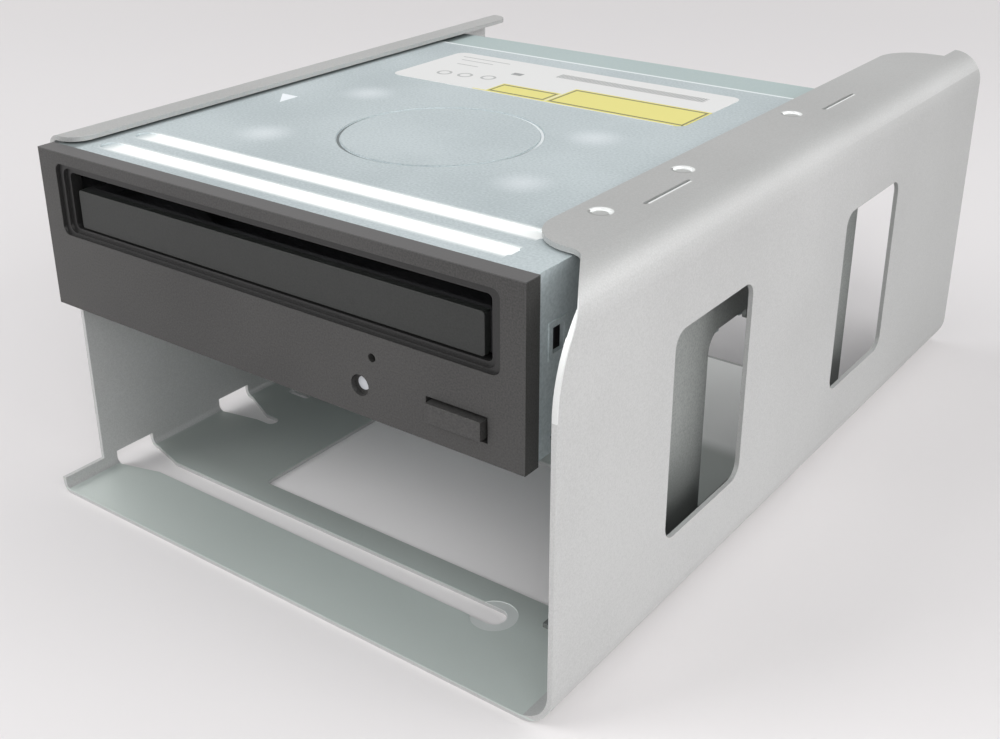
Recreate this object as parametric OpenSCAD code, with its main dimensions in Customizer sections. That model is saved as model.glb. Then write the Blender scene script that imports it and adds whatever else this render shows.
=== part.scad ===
// Half-height DVD writer, screwed into the upper bay of a folded two-bay drive carrier.
// +Y runs from the bezel to the rear, +Z is up, and the carrier stands on z = 0,
// with the origin under the middle of its outline.

/* [Carrier] */
// Width across the two side walls
carrier_w = 162; // [158:1:176]
// Length of the right wall, front to rear
carrier_l = 236; // [220:1:260]
// Height of the carrier
carrier_h = 99; // [97:0.5:110]
// Thickness of the aluminium sheet
sheet_t = 1.2; // [0.8:0.1:1.6]
// Outer radius of the two bends on the right
right_bend_r = 9; // [5:0.5:9.5]
// Outer radius of the two bends on the left
left_bend_r = 3; // [2:0.5:4]
// Width of the right top flange
right_flange_w = 24.8; // [20:0.2:32]
// Width of the left top flange
left_flange_w = 9.6; // [6:0.2:12]
// Radius of the right wall's top front corner
front_corner_r = 32; // [28:1:40]
// Width of a side window
window_w = 36.5; // [24:0.5:44]
// Height of a side window
window_h = 52.5; // [40:0.5:56]
// Corner radius of a side window
window_r = 4; // [2:0.5:8]
// Width of the plate's cross slots
slot_w = 6.3; // [4:0.1:8]
// Width of a cross slot's flared mouth
slot_mouth_w = 13; // [10:0.5:16]
// Width of the opening in the bottom plate
opening_w = 104; // [80:1:106]
// Length of the opening in the bottom plate
opening_l = 54.5; // [40:0.5:96]

/* [Drive case] */
// Width of the drive's case
drive_w = 146; // [146:0.1:146.6]
// Height of the drive's case
drive_h = 41.3; // [41:0.1:41.6]
// Length of the case behind the bezel
drive_l = 163.3; // [162.8:0.5:172.8]
// Thickness of the cover sheets
cover_t = 0.8; // [0.6:0.1:0.9]
// Distance from the bezel's face to the carrier's front edge
bezel_setback = 5.5; // [4:0.5:7]

/* [Bezel] */
// Width of the bezel
bezel_w = 148; // [147:0.5:149]
// Height of the bezel
bezel_h = 42; // [41.6:0.1:42]
// Thickness of the bezel
bezel_t = 4.7; // [4.4:0.1:4.9]
// Width of the tray opening
mouth_w = 129.5; // [128.5:0.5:131]
// Width of the eject button's face
button_w = 14.3; // [12:0.1:14.5]
// Height of the eject button's face
button_h = 4.4; // [3.6:0.1:4.6]
// Diameter of the lamp's window
lamp_d = 5; // [4:0.1:5.4]

/* [Tray] */
// Width of the disc tray
tray_w = 127; // [125:0.5:127]
// Diameter of the disc's recess
disc_recess_d = 121; // [120.5:0.1:121.4]
// Gear module of the loading gears and the tray's rack
gear_m = 1; // [0.95:0.01:1]

/* [Pickup] */
// Distance from the bezel's face to the spindle
spindle_y = 67; // [66:0.5:68]
// Radius of the turntable
turntable_r = 15.5; // [14:0.5:15.5]
// Diameter of the guide rods
rod_d = 3; // [2.6:0.1:3]
// Diameter of the lead screw
screw_d = 3; // [2.6:0.1:3]
// Pitch of the lead screw
screw_pitch = 3; // [2.5:0.5:3]

/* [Hidden] */
$fn = 64;

over = 0.5;
face_gap = 0.1;
slip = 0.3;
run_fit = 0.05;

// Carrier: places are measured from the front edge and from the two outer walls
front = -carrier_l / 2;
left = -carrier_w / 2;
right = carrier_w / 2;
left_wall_start = 13;
left_wall_l = 179.5;
left_flange_l = 184.8;
left_flange_start = 11.2;
plate_l = 178;
lip_h = 4.5;
right_flange_start = 22.3;
corner_drop = 25.5;
corner_angle = 59;
corner_blend_r = 5;
corner_lap = 0.15;
corner_step = 0.08;
blend_lap = 0.02;
right_flange_l = 206.5;
flange_corner_r = 6;
flange_end_r = 12;
small_r = 2.5;
strip_w = 13;
window_z = 22.7;
window_start = 45;
window_pitch = 91.2;
slot_start = 23.8;
slot_pitch = 38.2;
slot1_reach = 129.5;
slot2_reach = 19;
slot2_w = 4;
slot2_mouth_w = 12;
slot2_shift = 1.6;
small_slot_x = 13.5;
small_slot_y = 78;
small_slot_l = 6;
small_slot_w = 2.6;
slot_mouth_h = 4.8;
slot_flare = 15;
coin_r = 5.8;
coin_depth = 0.15;
opening_x = 43;
opening_y = 34.5;
opening_r = 1.5;
dimple_d = 4.6;
dimple_depth = 0.5;
dimple_in = 18.8;
dimple_places = [43.6, 78.9, 137.2];
slit_w = 0.9;
slit_l = 19.4;
slit_in = 13.9;
slit_places = [63.2, 156.2];
emboss_r = 7;
screw_hole_r = 1.7;

// Drive: the case's own frame has x = 0 in its middle, y = 0 on the bezel's face, z = 0 under it
left_gap = 2.8;
top_gap = 0.5;
drive_x = left + sheet_t + left_gap + drive_w / 2;
drive_y = front + bezel_setback;
drive_z = carrier_h - sheet_t - top_gap - drive_h;
half_w = drive_w / 2;
case_back = bezel_t + drive_l;
case_front = bezel_t + face_gap;
mount_in = 47.4;
mount_y1 = bezel_t + mount_in;
mount_pitch = 79.25;
mount_z1 = 10;
mount_z2 = 21.84;
mount_r = 1.25;
bay_pitch = 44;

// Side bracket between the drive's right side and the carrier's right wall
bracket_t = 1.2;
bracket_gap = 0.2;
bracket_front = 21.5;
bracket_back = 166;
bracket_top = 88;
bracket_window_y = 76.4;
bracket_window_l = 49;
bracket_window_z = 8;
bracket_window_top = 58;
bracket_tab_y = 96;
bracket_tab_w = 6;
bracket_tab_h = 3;
foot_w = 9;
front_foot_l = 7;
rear_foot_l = 40;
rivet_r = 1.5;
rivet_head_r = 2.6;
rivet_head_h = 0.9;
bracket_x = half_w + bracket_gap;

// Screws that hold the drive
tap_fit = 0.02;
head_r = 2.7;
head_h = 1.7;
screw_reach = 2.2;
collar_r = 2.1;
collar_l = 1.2;
cross_w = 0.8;
cross_share = 0.55;
cross_depth_share = 0.5;

// Covers
pan_gap = 0.2;
pan_flange_h = 8;
back_wall_h = 38;
back_lip_h = 4.5;
rib_w = 5.8;
rib_l = 127;
rib_y1 = 12;
rib_y2 = 23;
rib_depth = 0.4;
ring_r = 26;
ring_w = 1.2;
ring_depth = 0.35;
side_slot_y = 10.3;
side_slot_l = 3.9;
side_slot_z = 22.7;
side_slot_h = 5.6;
side_notch_y = 10.4;
side_notch_l = 3.4;
side_notch_z = 3.4;
side_notch_h = 4.2;
side_frame_w = 1.4;
side_frame_t = 0.3;
rear_step_l = 15.4;
rear_step_depth = 0.5;
notch_y = 84;
notch_l = 11;
notch_h = 2.4;
case_screw_r = 1.2;
case_screw_head_r = 2.4;
case_screw_l = 5;
case_screw_x = 64.5;
case_screw_y1 = 12;
case_screw_back = 6;
case_screw_y2 = case_back - case_screw_back;
screw_recess = 0.4;
label_w = 98.8;
label_l = 34.7;
label_t = 0.12;
label_x = -3;
label_y = 126.1;
label_r = 3;

// Bezel front
bezel_z = (drive_h - bezel_h) / 2;
recess_w = 135.8;
recess_low = 20.3;
recess_h = 18.6;
recess_r = 2;
step_side = 1.7;
step_low = 0.7;
step_top = 1.1;
step_depth = 0.9;
mouth_low = 22;
mouth_h = 14.6;
mouth_r = 1.2;
button_x = 56.8;
button_z = 7.1;
button_gap = 0.8;
button_proud = 1.5;
button_plate_t = 2;
button_flange = 1.2;
button_stem_w = 4;
lamp_x = 30.5;
lamp_z = 7;
lens_d = 3.2;
lens_recess = 1.4;
eject_hole_x = 34.3;
eject_hole_z = 14.6;
eject_hole_r = 1;
snap_w = 7;
snap_l = 6;
snap_t = 1.4;
snap_z = 12.8;

// Plastic chassis
chassis_w = 141.6;
chassis_wall = 3;
snap_x = chassis_w / 2 - chassis_wall - slip - snap_t;
chassis_front = 5.4;
chassis_end_gap = 4;
chassis_back = case_back - chassis_end_gap;
chassis_low = 2;
chassis_top = 33;
beam_t = 2.6;
beam_low = 10.6;
beam_top = 20.6;
deck_t = 1.6;
deck_back = 38.3;
ledge_w = 7.5;
ledge_t = 2;
guide_w = 6.5;
guide_l = 9;
guide_t = 1.1;
guide_places = [20, 52, 100, 148];
post_r = 1.5;
cup_t = 1.6;
pivot_y = 148;
pivot_z = 13;
pivot_r = 2;
lug_t = 3.4;
lug_l = 11;
lug_x = 49;
rear_deck_z = 6.5;
rear_deck_y = 141;
rear_deck_l = 16;

// Tray
tray_gap = 0.3;
tray_low = 22.3;
tray_floor_z = 24.5;
tray_floor_t = 2;
tray_top = 31.5;
tray_front_y = 4.2;
tray_back = 158;
tray_wall = 2;
tray_slot_w = 48;
tray_front_wall = 2;
hub_clear_r = 22;
front_plate_w = 125.4;
front_plate_h = 10;
front_plate_t = 2.2;
front_plate_r = 0.8;
skid_w = 2.4;
pad_r = 2;
pad_h = 0.3;
pad_ring_r = 57;

// Loading gears, all on upright axles
rack_n = 18;
low_n = 24;
idler_pin_n = 10;
idler_n = 22;
pulley_pin_n = 10;
rack_x = 54;
rack_back_w = 1.6;
gear_y = 21.2;
idler_angle = 183;
pulley_angle = 178;
level1 = 12.5;
level2 = 15.2;
level3 = 18.9;
level4 = 21.9;
gear_h = 2.3;
pulley_r = 11;
pulley_h = 2.6;
belt_w = 1.2;
groove_depth = 0.6;
motor_x = -20;
motor_y = 18.4;
motor_r = 9;
motor_h = 13.6;
motor_low = 3;
motor_pulley_r = 3.2;
motor_shaft_r = 0.75;
shaft_in = 4;
lead_pitch = 4;
lead_w = 0.8;
lead_l = 1.5;
addendum_share = 0.75;
dedendum_share = 1.05;
tooth_root_share = 0.46;
tooth_tip_share = 0.2;
tooth_seat_share = 0.3;
belt_n = 24;

// Cam slider and lift frame
slider_y = 38.8;
slider_t = 3;
slider_w = 88;
slider_x = -52;
slider_low = 8.3;
slider_top = 21.4;
slider_foot_l = 4.8;
slider_foot_t = 1.5;
cam_travel = 24;
lift_angle = 4;
pin_r = 1.5;
pin_z = 19;
pin_x = 24;
pin_front = 39.2;
cam_gap = 0.4;
hook_places = [-8, 20];
hook_t = 1.5;
hook_l = 7;
lift_front = 44.5;
lift_back = 152;
lift_w = 92;
lift_z = 14;
lift_t = 3;
lift_rail = 8;
lift_bay_y = 52;
lift_bay_l = 91;
leg_l = 8;
leg_t = 3;
leg_low = 10.6;
trunnion_l = 6.4;

// Traverse
damper_r = 4;
damper_h = 1;
damper_x = 40.5;
damper_y1 = 58;
damper_y2 = 146.5;
damper_screw_r = 1;
damper_head_r = 2.6;
damper_head_h = 0.7;
plate_t = 1.5;
plate_w = 90;
plate_front = 50;
plate_back = 151;
plate_z = lift_z + lift_t + damper_h;
bay_y = 82;
bay_l = 61;
bay_w = 70;
bay_x = 4;
base_t = 0.8;
base_w = 44;
base_y = 52;
base_l = 29;
bush_r = 3;
bush_h = 6.2;
shaft_r = 1.2;
stator_r = 11.2;
stator_h = 3.4;
stator_n = 9;
yoke_share = 0.3;
arm_share = 0.3;
tip_share = 0.18;
tip_w_share = 0.7;
rotor_r = 14;
rotor_wall = 0.8;
rotor_low = 21.6;
rotor_top = 26.6;
table_t = 2;
pad_t = 0.4;
pad_w = 3.6;
cone_r = 7.4;
cone_top_r = 6.2;
cone_h = 2.2;
cone_rim_share = 0.35;
rod_x = 27;
rod_z = 20.6;
rod_l = 63;
saddle_l = 4;
saddle_w = 6;

// Pickup
sled_y = 83;
sled_l = 24;
sled_w = 46;
sled_z = 14.5;
sled_h = 8.9;
sled_nose_r = 17.5;
ear_w = 6.5;
ear_l = 9;
ear_h = 5;
lens_y = 92.5;
lens_r = 2.6;
lens_h = 0.8;
holder_w = 12;
holder_l = 9;
holder_h = 5.1;
holder_z = 20.5;
holder_top_t = 0.6;
well_w = 24;
well_l = 13;
well_depth = 3.2;
magnet_w = 7;
magnet_t = 1.6;
magnet_h = 2.6;
screw_x = 34.5;
screw_z = 20;
screw_front = 74.7;
screw_l = 68.3;
thread_depth = 0.3;
nut_gap = 0.15;
nut_t = 1.6;
nut_rise = 1.2;
nut_l = 8;
step_motor_r = 4;
step_motor_l = 13;
step_motor_y = 64.5;
step_bore_l = 3;

// Clamp
clamp_z = 33;
clamp_t = 1;
clamp_l = 44;
clamp_hole_r = 13.6;
puck_r = 13;
puck_low = 30.4;
puck_flange_r = 16;
puck_flange_t = 1.4;
puck_well_r = 8.2;
puck_well_h = 1.6;
puck_magnet_r = 10.6;
puck_magnet_in = 9;
puck_magnet_h = 1.4;

// Boards
board_z = 2.6;
board_t = 1.6;
board_w = 116;
board_l = 62;
board_end_gap = 8;
board_y = case_back - board_end_gap - board_l;
board_boss_r = 3;
board_screw_x = 53;
board_screw_in = 4;
board_screw_y = board_y + board_screw_in;
board_screw_pitch = 52;
board_screw_r = 1.2;
board_head_r = 2.4;
board_head_h = 0.9;
front_screw_xs = [25, 44];
front_screw_y = 20;
chip_h = 1.2;
chip_shares = [[-0.22, 0.32, 0.17, 0.32], [0.05, 0.23, 0.1, 0.13], [0.07, 0.48, 0.09, 0.16],
    [0.26, 0.32, 0.06, 0.11], [-0.4, 0.68, 0.07, 0.08]];
front_board_x = 20;
front_board_w = 41;
front_board_y = 6.4;
front_board_l = 18;
switch_w = 6;
switch_l = 5;
switch_y = 12.6;
switch_h = 6;
plunger_r = 1.5;
plunger_l = 2.2;
plunger_in = 1.2;
plunger_bore_l = 3;
led_r = 1.5;
led_l = 3;
led_y = 7.4;
led_foot_w = 3.4;
tray_switch_w = 6;
tray_switch_l = 3;
tray_switch_h = 4;
tray_switch_x = -48;
tray_switch_y = 12;
conn_w = 42;
conn_h = 6.4;
conn_l = 11;
conn_x = -38;
conn_wall = 0.9;
tongue_t = 1.2;
data_tongue_w = 11;
power_tongue_w = 21;
conn_depth = 6.5;

// Shared shapes
module in_drive() {
    translate([drive_x, drive_y, drive_z]) children();
}

module at_front() {
    translate([0, front, 0]) children();
}

// A block given by its low corner and its size
module block(corner, size) {
    translate(corner) cube(size);
}

// A round bar along z, x or y
module bar_z(place, r, l) {
    translate(place) cylinder(r = r, h = l);
}

module bar_x(place, r, l) {
    translate(place) rotate([0, 90, 0]) cylinder(r = r, h = l);
}

module bar_y(place, r, l) {
    translate(place) rotate([-90, 0, 0]) cylinder(r = r, h = l);
}

// A rectangle from its low corner, with a round of its own at each corner:
// low left, low right, top right, top left
module rounded(w, h, r) {
    difference() {
        square([w, h]);
        corner_cut([0, 0], 0, r[0]);
        corner_cut([w, 0], 90, r[1]);
        corner_cut([w, h], 180, r[2]);
        corner_cut([0, h], 270, r[3]);
    }
}

module corner_cut(place, turn, r) {
    if (r > 0) translate(place) rotate(turn) difference() {
        translate([-over, -over]) square(r + over);
        translate([r, r]) circle(r = r);
    }
}

// A slot between two points
module slot(a, b, r) {
    span = b - a;
    turn = atan2(span[1], span[0]);
    translate(a) circle(r = r);
    translate(b) circle(r = r);
    translate(a) rotate(turn) translate([0, -r]) square([norm(span), 2 * r]);
}

// A plate cut from an outline in the Y-Z plane, standing across X
module wall_x(x, t) {
    translate([x, 0, 0]) rotate([90, 0, 90]) linear_extrude(t) children();
}

// A plate cut from an outline in the X-Z plane, standing across Y
module wall_y(y, t) {
    translate([0, y + t, 0]) rotate([90, 0, 0]) linear_extrude(t) children();
}

// The outline of a belt round two pulleys, as short straight runs
module belt_line(a, ra, b, rb) {
    span = b - a;
    turn = atan2(span[1], span[0]);
    lean = acos((ra - rb) / norm(span));
    function rim(c, r, t) = c + r * [cos(t), sin(t)];
    polygon(concat(
        [for (i = [0:belt_n]) rim(b, rb, turn - lean + 2 * lean * i / belt_n)],
        [for (i = [0:belt_n]) rim(a, ra, turn + lean + (360 - 2 * lean) * i / belt_n)]));
}

// A straight-flanked spur gear with its first tooth on +X
module gear_outline(n) {
    pitch = PI * gear_m;
    root = gear_m * (n / 2 - dedendum_share);
    tip = gear_m * (n / 2 + addendum_share);
    circle(r = root);
    for (i = [0:n - 1]) rotate(i * 360 / n) polygon([
        [root - gear_m * tooth_seat_share, -pitch * tooth_root_share / 2],
        [tip, -pitch * tooth_tip_share / 2],
        [tip, pitch * tooth_tip_share / 2],
        [root - gear_m * tooth_seat_share, pitch * tooth_root_share / 2]]);
}

module gear(place, n, turn, h) {
    translate(place) rotate(turn) linear_extrude(h) gear_outline(n);
}

// A cross-head screw: the shank runs from the head's underside along +Z
module cross_screw(head, head_t, shank, l) {
    difference() {
        union() {
            translate([0, 0, -head_t]) cylinder(r = head, h = head_t);
            cylinder(r = shank, h = l);
        }
        for (turn = [0, 90]) rotate(turn) translate([-cross_share * head, -cross_w / 2, -head_t - over])
            cube([2 * cross_share * head, cross_w, over + head_t * cross_depth_share]);
    }
}

// Carrier
module carrier_outline() {
    difference() {
        translate([left, 0]) rounded(carrier_w, carrier_h,
            [left_bend_r, right_bend_r, right_bend_r, left_bend_r]);
        translate([left + sheet_t, sheet_t]) rounded(carrier_w - 2 * sheet_t, carrier_h - 2 * sheet_t,
            [left_bend_r, right_bend_r, right_bend_r, left_bend_r] - sheet_t * [1, 1, 1, 1]);
        translate([left + left_flange_w, carrier_h - 2 * sheet_t])
            square([carrier_w - left_flange_w - right_flange_w, 3 * sheet_t]);
    }
}

// What the sheet loses at the right wall's top front corner: seen from the side on the wall,
// and from above on the bend and the flange
module right_corner_cut() {
    wall_x(right - sheet_t - over, sheet_t + 2 * over) difference() {
        translate([-over, carrier_h - corner_drop]) square([front_corner_r + over, corner_drop + over]);
        translate([front_corner_r, carrier_h - corner_drop]) circle(r = front_corner_r);
    }
    translate([0, 0, carrier_h - right_bend_r - over]) linear_extrude(right_bend_r + 2 * over) {
        corner_run();
        translate([right - right_flange_w, right_flange_start]) corner_cut([0, 0], 0, flange_end_r);
    }
}

// The front edge seen from above: straight over the bend, then a round into the flange's edge
module corner_run() {
    inner_r = right_bend_r - sheet_t + corner_lap;
    inner_x = right - sheet_t + corner_lap;
    rise = corner_drop - right_bend_r + sqrt(right_bend_r * right_bend_r - inner_r * inner_r);
    low_y = front_corner_r + corner_step - sqrt(front_corner_r * front_corner_r - rise * rise);
    top_x = inner_x - (right_flange_start - low_y) / tan(corner_angle);
    reach = corner_blend_r * tan(corner_angle / 2);
    polygon([[right - right_flange_w - over, -over], [inner_x, -over], [inner_x, low_y],
        [top_x + reach * cos(corner_angle), right_flange_start - reach * sin(corner_angle)],
        [top_x - reach, right_flange_start], [right - right_flange_w - over, right_flange_start]]);
    translate([top_x - reach, right_flange_start - corner_blend_r]) 
        circle(r = corner_blend_r + blend_lap);
}

// What the sheet loses behind the right top flange
module right_flange_end_cut() {
    flange_back = right_flange_start + right_flange_l - small_r;
    width = right_flange_w - right_bend_r;
    translate([right - right_flange_w, 0, carrier_h - 2 * sheet_t]) linear_extrude(3 * sheet_t) {
        translate([-over, flange_back - over]) square([width + over, carrier_l - flange_back + 2 * over]);
        translate([0, flange_back - over]) corner_cut([0, 0], 270, flange_end_r);
    }
}

// The left wall, its bends and its flange start behind the lip and end before the right wall does
module left_side_cut() {
    side_w = left_flange_w + over;
    wall_end = left_wall_start + left_wall_l;
    flange_end = left_flange_start + left_flange_l;
    wall_x(left - over, side_w + over) {
        translate([-over, lip_h]) square([left_wall_start + over, carrier_h - lip_h - left_bend_r]);
        translate([-over, carrier_h - left_bend_r - over])
            square([left_flange_start + over, left_bend_r + 2 * over]);
        translate([wall_end, -over]) square([carrier_l - wall_end + over, carrier_h - left_bend_r]);
        translate([flange_end, carrier_h - left_bend_r - 2 * over])
            square([carrier_l - flange_end + over, left_bend_r + 3 * over]);
    }
    translate([left + left_flange_w, left_flange_start, carrier_h - 2 * sheet_t])
        linear_extrude(3 * sheet_t) corner_cut([0, 0], 90, flange_corner_r);
    translate([left + left_flange_w, flange_end, carrier_h - 2 * sheet_t])
        linear_extrude(3 * sheet_t) corner_cut([0, 0], 180, flange_corner_r);
}

// A cross slot: a flare that opens up the left wall, and a straight run across the plate
module cross_slot(y, run_y, reach, w, mouth_w) {
    translate([0, 0, -over]) linear_extrude(sheet_t + left_bend_r + over) {
        slot([left + slot_flare, run_y], [left + reach, run_y], w / 2);
        polygon([[left - over, y - mouth_w / 2], [left + left_bend_r, y - mouth_w / 2],
            [left + slot_flare, run_y - w / 2], [left + slot_flare, run_y + w / 2],
            [left + left_bend_r, y + mouth_w / 2], [left - over, y + mouth_w / 2]]);
    }
    block([left - over, y - mouth_w / 2, -over], [sheet_t + 2 * over, mouth_w, slot_mouth_h + over]);
}

module plate_opening() {
    translate([left + opening_x, opening_y, -over]) linear_extrude(sheet_t + 2 * over)
        rounded(opening_w, opening_l, opening_r * [1, 1, 1, 1]);
}

// The plate ends before the walls do, apart from a strip along the right bend
module plate_end_cut() {
    translate([left + left_bend_r, plate_l, -over]) linear_extrude(sheet_t + 2 * over)
        rounded(carrier_w - left_bend_r - strip_w, carrier_l - plate_l + small_r + over,
            [small_r, small_r, 0, 0]);
    wall_x(left - over, left_bend_r + 2 * over) translate([left_wall_start + left_wall_l, -over])
        square([carrier_l, left_bend_r + 2 * over]);
}

module window_cut(y) {
    wall_x(right - sheet_t - over, sheet_t + 2 * over) translate([y, window_z])
        rounded(window_w, window_h, window_r * [1, 1, 1, 1]);
}

module side_holes(x, t, z, r) {
    for (y = [mount_y1, mount_y1 + mount_pitch])
        bar_x([x, bezel_setback + y, z], r, t);
}

module carrier() {
    hole_z = drive_z + mount_z1;
    color([0.82, 0.83, 0.82]) at_front() difference() {
        union() {
            difference() {
                translate([0, carrier_l, 0]) rotate([90, 0, 0]) linear_extrude(carrier_l) carrier_outline();
                right_corner_cut();
                right_flange_end_cut();
                left_side_cut();
                plate_end_cut();
                plate_opening();
                cross_slot(slot_start, slot_start, slot1_reach, slot_w, slot_mouth_w);
                cross_slot(slot_start + slot_pitch, slot_start + slot_pitch - slot2_shift, slot2_reach,
                    slot2_w, slot2_mouth_w);
                translate([left + small_slot_x, small_slot_y, -over]) linear_extrude(sheet_t + 2 * over)
                    slot([-small_slot_l / 2, 0], [small_slot_l / 2, 0], small_slot_w / 2);
                for (y = [window_start, window_start + window_pitch]) window_cut(y);
                for (y = slit_places) translate([right - slit_in, y, carrier_h - 2 * sheet_t])
                    linear_extrude(3 * sheet_t) slot([0, -slit_l / 2], [0, slit_l / 2], slit_w / 2);
                for (y = dimple_places)
                    bar_z([right - dimple_in, y, carrier_h - dimple_depth], dimple_d / 2, dimple_depth + over);
                bar_z([left + slot1_reach, slot_start, sheet_t - coin_depth], coin_r, coin_depth + over);
                side_holes(left - over, emboss_r, hole_z, emboss_r - sheet_t);
            }
            for (y = dimple_places) bar_z([right - dimple_in, y, carrier_h - sheet_t - top_gap + face_gap],
                dimple_d / 2, top_gap - face_gap);
            difference() {
                side_holes(left + sheet_t / 2, left_gap + sheet_t / 2, hole_z, emboss_r);
                side_holes(left, left_gap, hole_z, emboss_r - sheet_t);
            }
        }
        side_holes(left - over, emboss_r, hole_z, screw_hole_r);
        side_holes(left - over, sheet_t + 2 * over, hole_z - bay_pitch, screw_hole_r);
    }
}

// Side bracket: a plate against the drive with a foot at each end, folded in over the bottom plate
module side_bracket() {
    x = drive_x + bracket_x;
    color([0.3, 0.31, 0.32]) at_front() translate([0, bezel_setback, 0]) difference() {
        union() {
            wall_x(x, bracket_t) difference() {
                translate([bracket_front, sheet_t]) rounded(bracket_back - bracket_front,
                    bracket_top - sheet_t, [0, 0, flange_corner_r, flange_corner_r]);
                translate([bracket_window_y, bracket_window_z]) rounded(bracket_window_l,
                    bracket_window_top - bracket_window_z, [small_r, small_r, small_r, 2 * small_r]);
            }
            wall_x(x, bracket_t) translate([bracket_tab_y, bracket_window_top - bracket_tab_h])
                rounded(bracket_tab_w, bracket_tab_h + over, [bracket_t, bracket_t, 0, 0]);
            block([x - foot_w, bracket_front, sheet_t], [foot_w + over, front_foot_l, bracket_t]);
            block([x - foot_w, bracket_back - rear_foot_l, sheet_t], [foot_w + over, rear_foot_l, bracket_t]);
        }
        for (y = rivet_places()) bar_z([x - foot_w / 2, y, 0], rivet_r + tap_fit, bracket_t + 2 * sheet_t);
        for (z = [drive_z + mount_z1, drive_z + mount_z1 - bay_pitch], y = [mount_y1, mount_y1 + mount_pitch])
            bar_x([x - over, y, z], screw_hole_r, bracket_t + 2 * over);
    }
}

function rivet_places() = [bracket_front + front_foot_l / 2, bracket_back - rear_foot_l + front_foot_l,
    bracket_back - front_foot_l];

module bracket_rivets() {
    x = drive_x + bracket_x - foot_w / 2;
    color("silver") at_front() translate([x, bezel_setback, 0]) for (y = rivet_places()) {
        bar_z([0, y, sheet_t], rivet_r, bracket_t);
        bar_z([0, y, sheet_t + bracket_t], rivet_head_r, rivet_head_h);
    }
}

module carrier_screws() {
    color([0.75, 0.75, 0.77]) in_drive() for (y = [mount_y1, mount_y1 + mount_pitch]) {
        translate([-half_w - sheet_t, y, mount_z1]) rotate([0, 90, 0])
            cross_screw(head_r, head_h, mount_r - tap_fit, sheet_t + screw_reach);
        translate([bracket_x + bracket_t, y, mount_z1]) rotate([0, -90, 0])
            cross_screw(head_r, head_h, mount_r - tap_fit, bracket_t + bracket_gap + screw_reach);
    }
}

// Covers
module mount_collars(sign) {
    for (y = [mount_y1, mount_y1 + mount_pitch], z = [mount_z1, mount_z2])
        bar_x([sign > 0 ? half_w - cover_t - collar_l : -half_w + cover_t, y, z], collar_r, collar_l);
}

module mount_bores() {
    for (y = [mount_y1, mount_y1 + mount_pitch], z = [mount_z1, mount_z2]) {
        bar_x([-half_w - over, y, z], mount_r, cover_t + collar_l + 2 * over);
        bar_x([half_w - cover_t - collar_l - over, y, z], mount_r, cover_t + collar_l + 2 * over);
    }
}

module cover_bead(y, w, depth) {
    linear_extrude(depth) slot([-rib_l / 2 + w / 2, y], [rib_l / 2 - w / 2, y], w / 2);
}

module top_cover() {
    color([0.72, 0.78, 0.79]) in_drive() difference() {
        union() {
            difference() {
                block([-half_w, case_front, 0], [drive_w, case_back - case_front, drive_h]);
                block([-half_w + cover_t, -over, -over],
                    [drive_w - 2 * cover_t, case_back + 2 * over, drive_h - cover_t + over]);
            }
            block([-half_w + cover_t / 2, case_back - cover_t, drive_h - back_lip_h],
                [drive_w - cover_t, cover_t, back_lip_h - cover_t / 2]);
            for (y = [rib_y1, rib_y2]) translate([0, 0, drive_h - cover_t - rib_depth])
                cover_bead(y, rib_w, rib_depth + cover_t / 2);
            mount_collars(1);
            mount_collars(-1);
            block([-half_w + cover_t / 2, case_back - rear_step_l - cover_t,
                drive_h - cover_t - rear_step_depth],
                [drive_w - cover_t, rear_step_l + cover_t / 2, cover_t]);
            for (x = [-half_w - side_frame_t, half_w - cover_t / 2])
                block([x, side_slot_y - side_frame_w, side_slot_z - side_frame_w],
                    [side_frame_t + cover_t / 2, side_slot_l + 2 * side_frame_w,
                        side_slot_h + 2 * side_frame_w]);
        }
        block([-half_w - over, case_back - rear_step_l, drive_h - rear_step_depth],
            [drive_w + 2 * over, rear_step_l + over, rear_step_depth + over]);
        for (y = [rib_y1, rib_y2]) translate([0, 0, drive_h - rib_depth])
            cover_bead(y, rib_w - cover_t, rib_depth + over);
        translate([0, spindle_y, drive_h - ring_depth]) difference() {
            cylinder(r = ring_r + ring_w / 2, h = ring_depth + over);
            translate([0, 0, -over]) cylinder(r = ring_r - ring_w / 2, h = ring_depth + 3 * over);
        }
        mount_bores();
        for (x = [-half_w - over, half_w - cover_t - over]) {
            block([x, side_slot_y, side_slot_z], [cover_t + 2 * over, side_slot_l, side_slot_h]);
            block([x, side_notch_y, side_notch_z], [cover_t + 2 * over, side_notch_l, side_notch_h]);
            block([x, notch_y, -over], [cover_t + 2 * over, notch_l, notch_h + over]);
        }
    }
}

module case_screw_spots() {
    for (x = [-case_screw_x, case_screw_x], y = [case_screw_y1, case_screw_y2])
        translate([x, y, 0]) children();
}

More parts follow.
